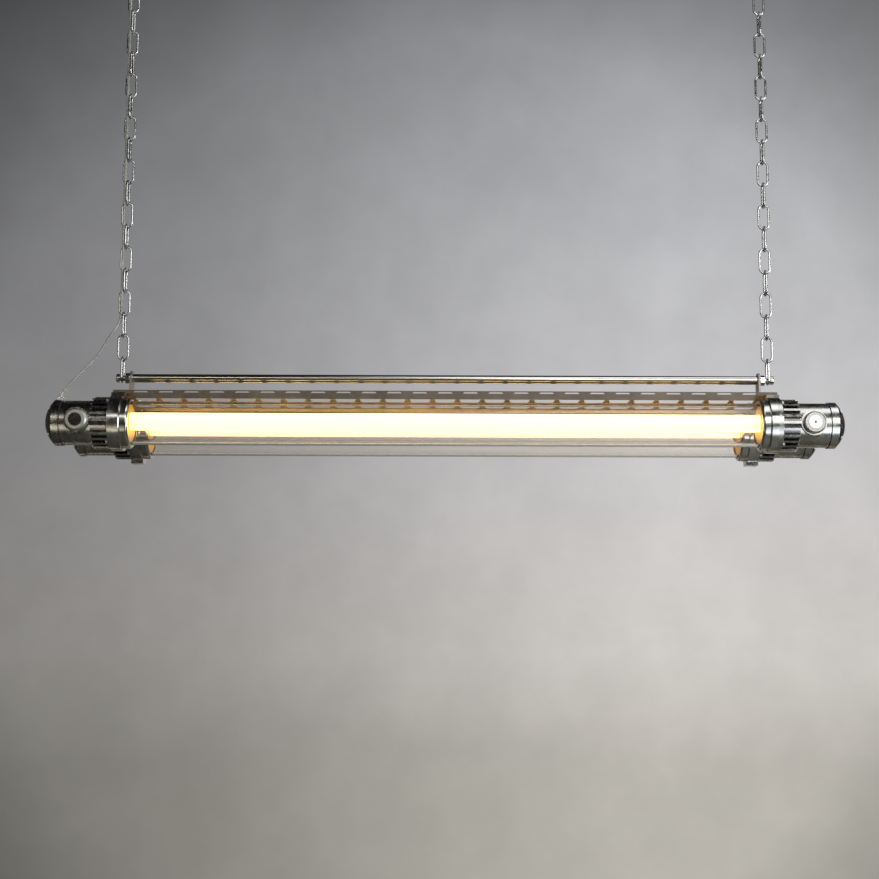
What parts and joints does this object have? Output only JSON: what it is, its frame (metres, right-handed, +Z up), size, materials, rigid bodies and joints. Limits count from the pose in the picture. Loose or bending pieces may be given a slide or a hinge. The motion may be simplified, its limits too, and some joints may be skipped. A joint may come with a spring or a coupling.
{
  "type": "linear pendant light",
  "caption": "Long pendant light with twin lit tubes in clear glass, finned cast ends and a slotted steel carrier, hung level from a rod on two chains.",
  "frame": {"origin": "on the ceiling plane, midway between the two ceiling cups", "axes": "+X along the light to the right, -Y to its front, +Z up"},
  "size_m": [1.453, 0.29, 1.0139],
  "materials": {
    "cast_aluminium": "polished and aged casting",
    "clear_cord": "clear sheath",
    "clear_fitting": "clear",
    "clear_glass": "clear",
    "cup_paint": "satin",
    "dark_steel": "satin",
    "lamp_cap": "satin",
    "lead_cover": "matt",
    "lit_lamp": "lit phosphor glass",
    "plated_chain": "bright plated",
    "polished_nickel": "polished",
    "polished_ring": "polished",
    "seal_rubber": "matt",
    "spun_collar": "spun",
    "white_plastic": "matt",
    "zinc_fixing": "zinc plated"
  },
  "bodies": {
    "ceiling": {"left_ceiling_cup": "cup_paint", "right_ceiling_cup": "cup_paint", "left_ceiling_eye": "plated_chain", "right_ceiling_eye": "plated_chain", "eye_nuts": "plated_chain", "cord_grip": "clear_fitting", "cup_terminal_block": "white_plastic", "cord_top": "clear_cord"},
    "left_top_link": {"left_top_link": "plated_chain"},
    "left_chain": {"left_chain_links": "plated_chain", "cord_upper": "clear_cord", "cord_chain": "clear_cord"},
    "left_bottom_links": {"left_bottom_links": "plated_chain", "cord_lower": "clear_cord"},
    "right_top_link": {"right_top_link": "plated_chain"},
    "right_chain": {"right_chain_links": "plated_chain"},
    "right_bottom_links": {"right_bottom_links": "plated_chain"},
    "front_lamp": {"front_lamp_tube": "lit_lamp", "front_lamp_caps": "lamp_cap", "front_holder_rotors": "white_plastic"},
    "rear_lamp": {"rear_lamp_tube": "lit_lamp", "rear_lamp_caps": "lamp_cap", "rear_holder_rotors": "white_plastic"},
    "light": {"blanking_plugs": "cast_aluminium", "carrier_tray": "dark_steel", "conduit_locknuts": "zinc_fixing", "cord_gland": "clear_fitting", "cover_gaskets": "seal_rubber", "cover_screws": "zinc_fixing", "flange_bolts": "zinc_fixing", "front_glass_tube": "clear_glass", "front_left_clamp_ring": "polished_ring", "front_left_end_cover": "cast_aluminium", "front_left_housing": "cast_aluminium", "front_right_clamp_ring": "polished_ring", "front_right_end_cover": "cast_aluminium", "front_right_housing": "cast_aluminium", "glass_seals": "seal_rubber", "internal_leads": "lead_cover", "lamp_collars": "spun_collar", "lampholders": "white_plastic", "left_post": "dark_steel", "post_bolts": "zinc_fixing", "rear_glass_tube": "clear_glass", "rear_left_clamp_ring": "polished_ring", "rear_left_end_cover": "cast_aluminium", "rear_left_housing": "cast_aluminium", "rear_right_clamp_ring": "polished_ring", "rear_right_end_cover": "cast_aluminium", "rear_right_housing": "cast_aluminium", "right_post": "dark_steel", "rod_end_caps": "polished_nickel", "rod_nuts": "polished_nickel", "rod_washers": "polished_nickel", "spreader_tube": "polished_nickel", "terminal_block": "white_plastic", "tie_rod": "polished_nickel", "tray_screws": "zinc_fixing", "wiring_conduit": "zinc_fixing"}
  },
  "joints": [
    {"name": "fore_aft_swing", "type": "hinge", "parent": "ceiling", "child": "left_top_link", "pos_m": [-0.611, 0, -0.0513], "axis": [1, 0, 0], "range_deg": [-12, 12], "deforming": ["cord_top"]},
    {"name": "sideways_swing", "type": "hinge", "parent": "left_top_link", "child": "left_chain", "pos_m": [-0.611, 0, -0.09115], "axis": [0, 1, 0], "range_deg": [-12, 12], "deforming": ["cord_upper"]},
    {"name": "left_levelling", "type": "hinge", "parent": "left_chain", "child": "left_bottom_links", "pos_m": [-0.611, 0, -0.73615], "axis": [0, 1, 0], "range_deg": [-12, 12], "deforming": ["cord_chain"]},
    {"name": "rock", "type": "hinge", "parent": "left_bottom_links", "child": "light", "pos_m": [-0.611, 0, -0.86], "axis": [1, 0, 0], "range_deg": [-15, 15], "deforming": ["cord_lower"]},
    {"name": "right_fore_aft_swing", "type": "hinge", "parent": "ceiling", "child": "right_top_link", "pos_m": [0.611, 0, -0.0513], "axis": [1, 0, 0], "range_deg": [-12, 12]},
    {"name": "right_sideways_swing", "type": "hinge", "parent": "right_top_link", "child": "right_chain", "pos_m": [0.611, 0, -0.09115], "axis": [0, 1, 0], "range_deg": [-12, 12]},
    {"name": "right_levelling", "type": "hinge", "parent": "right_chain", "child": "right_bottom_links", "pos_m": [0.611, 0, -0.73615], "axis": [0, 1, 0], "range_deg": [-12, 12]},
    {"name": "front_lamp_twist", "type": "hinge", "parent": "light", "child": "front_lamp", "pos_m": [0, -0.09, -0.9544], "axis": [1, 0, 0], "range_deg": [0, 90]},
    {"name": "rear_lamp_twist", "type": "hinge", "parent": "light", "child": "rear_lamp", "pos_m": [0, 0.09, -0.9544], "axis": [1, 0, 0], "range_deg": [0, 90]}
  ],
  "couplings": [
    {"joint": "left_levelling", "follows": "sideways_swing", "ratio": -1},
    {"joint": "right_fore_aft_swing", "follows": "fore_aft_swing", "ratio": 1},
    {"joint": "right_sideways_swing", "follows": "sideways_swing", "ratio": 1},
    {"joint": "right_levelling", "follows": "sideways_swing", "ratio": -1}
  ]
}
